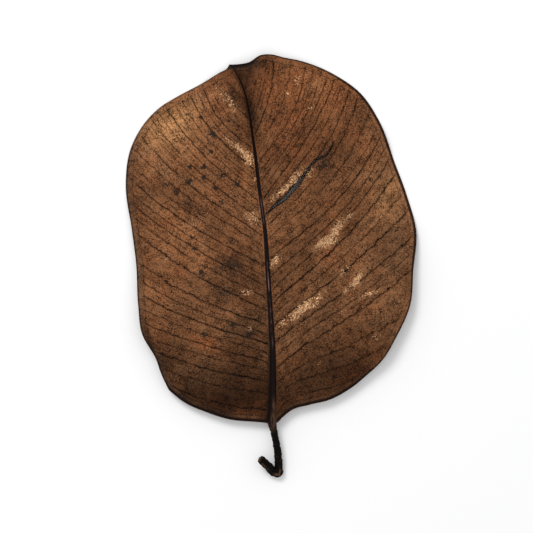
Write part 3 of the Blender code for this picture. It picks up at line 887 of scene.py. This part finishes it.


# Light and dark, added up as logarithms and turned into one factor that multiplies the ground's brown:
# the leaf's own tone and grain, the painted light and shade of the tone marks, and a painted shade in
# the fold beside the midrib near the tip.
def makeGround(look):
    crowded = fade(grain(0.26, 3.0, 0.6), 0.36, 0.64)
    sharpGrain = total(
        swing(look["finest"], 2.4, 1.0, 0.6),
        swing(look["grit"], 3.3, 1.0, 0.6),
    )
    roughGrain = total(
        swing(look["blotch"], 0.42, 2.0, 0.5),
        swing(look["fine"], 1.3, 2.0, 0.6),
        product(sharpGrain, total(0.6, product(crowded, 0.8))),
        product(swing(look["fibre"], 1.0, 2.0, place=veinPlace(0.3, 4.5)), on.clear),
    )
    darkSpecks = total(
        product(specks(1.1, 0.24, 0.30, 3.0), 1.5),
        product(specks(1.6, 0.30, 0.35, 9.0), 1.1),
        product(specks(2.3, 0.36, 0.40, 23.0), 0.8),
    )
    lowVeins = fade(on.growth, 0.55, 0.35)
    # painted shade in the fold on either side of the midrib near the tip, mostly on its right
    tipFoldShadeMask = product(
        fade(on.ribReach, 9.0, 0.5),
        fade(on.ribReach, -3.5, -0.8),
        fade(on.growth, 0.74, 0.90),
    )
    brightness = total(
        on.tone,
        look["lift"],
        swing(look["mottle"], 0.11, 3.0),
        calc("SMOOTH_MIN", roughGrain, look["ceiling"], 0.5),
        product(on.veinLine, total(-look["veinDark"], product(lowVeins, -0.8))),
        product(on.veinHalo, total(-look["veinHalo"], product(lowVeins, -0.26))),
        product(tipFoldShadeMask, -look["tipFoldShade"]),
        product(on.faintLine, -look["faintVein"]),
        product(on.netLine, -look["net"]),
        product(darkSpecks, total(-0.5, product(crowded, -0.8))),
    )
    factor = calc("EXPONENT", brightness)
    hues = product(roughGrain, -0.3), swing(2.8, 0.18, 3.0)
    warm = total(on.warm, *hues, 0.12)
    body = blend(fade(warm, 0.0, 1.0), look["brown"], look["redBrown"])
    body = blend(fade(warm, 0.0, -1.0), body, look["dustBrown"])
    # golder where the tone marks are high, which takes in the painted highlight at the upper left
    body = blend(fade(on.tone, 0.3, 1.0), body, look["goldBrown"])
    body = shaded(body, factor)
    palest = specks(1.5, 0.28, 0.16, 17.0), specks(2.2, 0.34, 0.2, 31.0)
    paleSpecks = product(total(*palest), look["paleSpecks"])
    return blend(paleSpecks, body, shaded(look["orange"], factor)), factor


# Mould spots with frayed edges, drawn from the same marks that hold the near black painted shadow under
# the curled tip, in the fold left of the midrib below it and along the tear's lips.
def addSpots(look, body):
    frayed = swing(3.0, 1.9, 2.0, 0.6), swing(0.7, 0.5, 2.0)
    spot = fade(total(on.stain, *frayed, -0.06), *look["spotEdge"])
    return blend(product(spot, fade(on.stain, 0.02, 0.2), 0.94), body, look["mouldAndShadowDark"])


# Flaked skin, ragged at its edges, pitted inside and fringed with orange.
def addFlakes(look, body, factor):
    tatters = swing(2.4, 0.8, 3.0, 0.6), swing(3.8, 2.3, 1.0)
    ragged = total(on.flake, *tatters)
    inside = fade(on.flake, 0.03, 0.25)
    on.flaked = product(fade(ragged, *look["flakeEdge"]), inside)
    fringe = product(fade(ragged, 0.32, 0.6), inside, 0.38)
    body = blend(fringe, body, shaded(look["orange"], factor))
    pits = swing(2.0, 1.0, 2.0), swing(4.0, 2.6, 1.0)
    paleTone = calc("EXPONENT", total(*pits, -0.10))
    return blend(product(on.flaked, 0.88), body, shaded(look["pale"], paleTone))


# The dark rim, thicker in three stretches, the one beside the tip being painted shade under the curled
# margin, and half as dark along the upper left as a painted highlight; the vein that follows it and a
# greyer collar outside that.
def addRim(look, body, factor):
    rimWavy = calc("ADD", on.rim, swing(0.9, 0.3, 2.0))
    collar = product(
        fade(rimWavy, *look["collarEdge"]),
        fade(on.ribReach, 60.0, -20.0),
        fade(on.growth, 0.60, 0.45),
        fade(grain(0.3, 2.0), 0.2, 0.5),
        0.6,
    )
    body = blend(collar, body, shaded(look["collar"], factor))
    rimVein = fade(calc("ABSOLUTE", calc("SUBTRACT", rimWavy, 2.3)), 0.30, 0.05)
    body = blend(product(rimVein, 0.4), body, look["rimAndShadowDark"])
    upperRight = fade(on.growth, 0.10, 0.2), fade(on.growth, 0.7, 0.5)
    thickRim = total(
        product(fade(on.ribReach, 5.0, 20.0), *upperRight),
        product(fade(on.growth, 0.04, 0.005), 1.3),
        # painted shade under the curled margin beside the tip
        product(fade(on.ribReach, 0.0, 3.0), fade(on.growth, 0.84, 0.93), 1.2),
    )
    rimLine = fade(calc("SUBTRACT", on.rim, product(thickRim, 0.4)), *look["rimEdge"])
    # a painted highlight along the upper left margin: the rim line is half as dark there
    upperLeftHighlight = product(fade(on.ribReach, -1.0, -7.0), fade(on.growth, 0.42, 0.58), -0.5)
    body = blend(product(rimLine, total(0.92, upperLeftHighlight)), body, look["rimAndShadowDark"])
    return blend(product(fade(on.rim, 0.3, 0.08), 0.65), body, look["collar"])


# The underside: paler and duller, with the same veins.
def addUnderside(look, body):
    underFactor = calc("EXPONENT", total(
        swing(1.5, 0.15, 3.0),
        swing(2.4, 0.9, 3.0, 0.6),
        product(on.veinLine, -1.3),
        product(on.faintLine, -0.6),
        product(on.netLine, -0.5),
    ))
    return blend(product(on.underside, 0.85), body, shaded(look["under"], underFactor))


# The midrib: purplish black, with a painted highlight along its crest, brown at its foot, and a painted
# shadow to its left near the foot.
def addMidrib(look, body):
    # where the painted highlight lies along the crest
    crestHighlightPlaces = total(
        product(fade(on.growth, 0.20, 0.28), fade(on.growth, 0.46, 0.42)),
        product(fade(on.growth, 0.545, 0.565), fade(on.growth, 0.65, 0.61), 0.8),
    )
    crestHighlight = product(fade(on.fromRib, 0.55, 0.1), fade(on.ribGrain, 0.35, 0.65), crestHighlightPlaces)
    ribColour = blend(crestHighlight, look["ribDark"], look["ribCrestHighlight"])
    foot = fade(on.growth, 0.085, 0.05), fade(on.ribReach, -0.8, -0.2)
    ribFoot = product(*foot, fade(on.ribGrain, 0.38, 0.58), 0.5)
    ribColour = blend(ribFoot, ribColour, look["stalkBrown"])
    on.onRib = product(fade(on.fromRib, *look["ribEdge"]), fade(on.growth, 1.0, 0.995))
    body = blend(on.onRib, body, ribColour)
    # painted shadow to the left of the midrib's lower third, in the rim's near black
    leftOfRib = fade(on.ribReach, -2.5, -1.1), fade(on.ribReach, 0.0, -0.8)
    shadeLeft = product(*leftOfRib, fade(on.growth, 0.32, 0.16), 0.9)
    return blend(shadeLeft, body, look["rimAndShadowDark"])


# The stalk: nearly black, and brown where the bark is rubbed.
def addStalk(look, body):
    worn = total(on.rubbed, swing(3.2, 2.6, 3.0, 0.6, place=on.bark))
    rubbed = product(fade(worn, 0.55, 0.85), 0.85)
    return blend(on.stalk, body, blend(rubbed, look["stalkDark"], look["stalkBrown"]))


def makeBump(look):
    heightMap = total(
        swing(0.9, 1.1, 3.0, 0.6),
        swing(0.5, 2.9, 2.0),
        product(on.veinLine, -0.7),
        product(on.netLine, -0.25),
        product(on.flaked, -0.35),
        product(on.ribGrain, on.onRib, 1.2),
        product(grain(1.5, 3.0, place=on.bark), on.stalk, 3.0),
    )
    sources = {"Strength": look["bump"], "Distance": look["bumpDepth"], "Height": heightMap}
    return addNode("Bump", sources)


def makeLeafFinish(look):
    shader = tree.nodes["Principled BSDF"]
    readLeaf()
    addVeinLines(look)
    addNetLines()
    body, factor = makeGround(look)
    body = addSpots(look, body)
    body = addFlakes(look, body, factor)
    body = addRim(look, body, factor)
    body = addUnderside(look, body)
    body = addMidrib(look, body)
    body = addStalk(look, body)
    feed(body, shader.inputs["Base Color"])
    duller = swing(0.3, 0.8, 3.0), product(on.flaked, 0.1), product(on.onRib, -0.12)
    feed(total(look["roughness"], *duller), shader.inputs["Roughness"])
    shader.inputs["Specular IOR Level"].default_value = look["shine"]
    feed(makeBump(look), shader.inputs["Normal"])


tableTop = {
    "side": 3000.0,
    "height": -0.02,  # just under the leaf, so that no face lies in another
    "white": (0.93, 0.93, 0.935, 1.0),
    "roughness": 0.9,
}


def makeTable():
    reach, height = tableTop["side"] * mm / 2, tableTop["height"] * mm
    mesh = bpy.data.meshes.new("tableTop")
    corners = [(x * reach, y * reach, height) for x, y in ((-1, -1), (1, -1), (1, 1), (-1, 1))]
    mesh.from_pydata(corners, [], [(0, 1, 2, 3)])
    table = bpy.data.objects.new("tableTop", mesh)
    bpy.context.scene.collection.objects.link(table)
    material = bpy.data.materials.new("plainWhite")
    material.use_nodes = True
    shader = material.node_tree.nodes["Principled BSDF"]
    shader.inputs["Base Color"].default_value = tableTop["white"]
    shader.inputs["Roughness"].default_value = tableTop["roughness"]
    shader.inputs["Specular IOR Level"].default_value = 0.0
    mesh.materials.append(material)


lighting = {
    "sky": 0.785,
    "lampPlace": (-0.42, 0.62, 0.86),
    "lampSize": 0.5,
    "lampPower": 5.7,
}


# An even bright sky, and one soft lamp that points at the leaf.
def makeLights():
    scene = bpy.context.scene
    scene.view_settings.view_transform = "Standard"
    scene.world = bpy.data.worlds.new("softBox")
    scene.world.use_nodes = True
    sky = scene.world.node_tree.nodes["Background"]
    sky.inputs["Color"].default_value = (1.0, 1.0, 1.0, 1.0)
    sky.inputs["Strength"].default_value = lighting["sky"]
    lampData = bpy.data.lights.new("windowLight", "AREA")
    lampData.shape = "DISK"
    lampData.size = lighting["lampSize"]
    lampData.energy = lighting["lampPower"]
    lamp = bpy.data.objects.new("windowLight", lampData)
    lamp.location = lighting["lampPlace"]
    lamp.rotation_euler = (-lamp.location).to_track_quat("-Z", "Y").to_euler()
    scene.collection.objects.link(lamp)


viewpoint = {"x": -1.5, "y": -0.17, "height": 981.0, "lens": 200.0}


# The camera looks straight down, with the leaf's tip at the top of the picture.
def makeCamera():
    scene = bpy.context.scene
    cameraData = bpy.data.cameras.new("overhead")
    cameraData.lens = viewpoint["lens"]
    cameraData.clip_end = 20.0
    camera = bpy.data.objects.new("overhead", cameraData)
    camera.location = [viewpoint[axis] * mm for axis in ("x", "y", "height")]
    scene.collection.objects.link(camera)
    scene.camera = camera


leaf = makeLeafObject()
makeLeafFinish(leafFinish)
leaf.data.materials.append(dryLeafBrown)
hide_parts("leaf")
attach(leaf, "root")
print("leaf made")
makeTable()
makeLights()
makeCamera()
print("stage, lights and camera made")

bpy.context.view_layer.update()
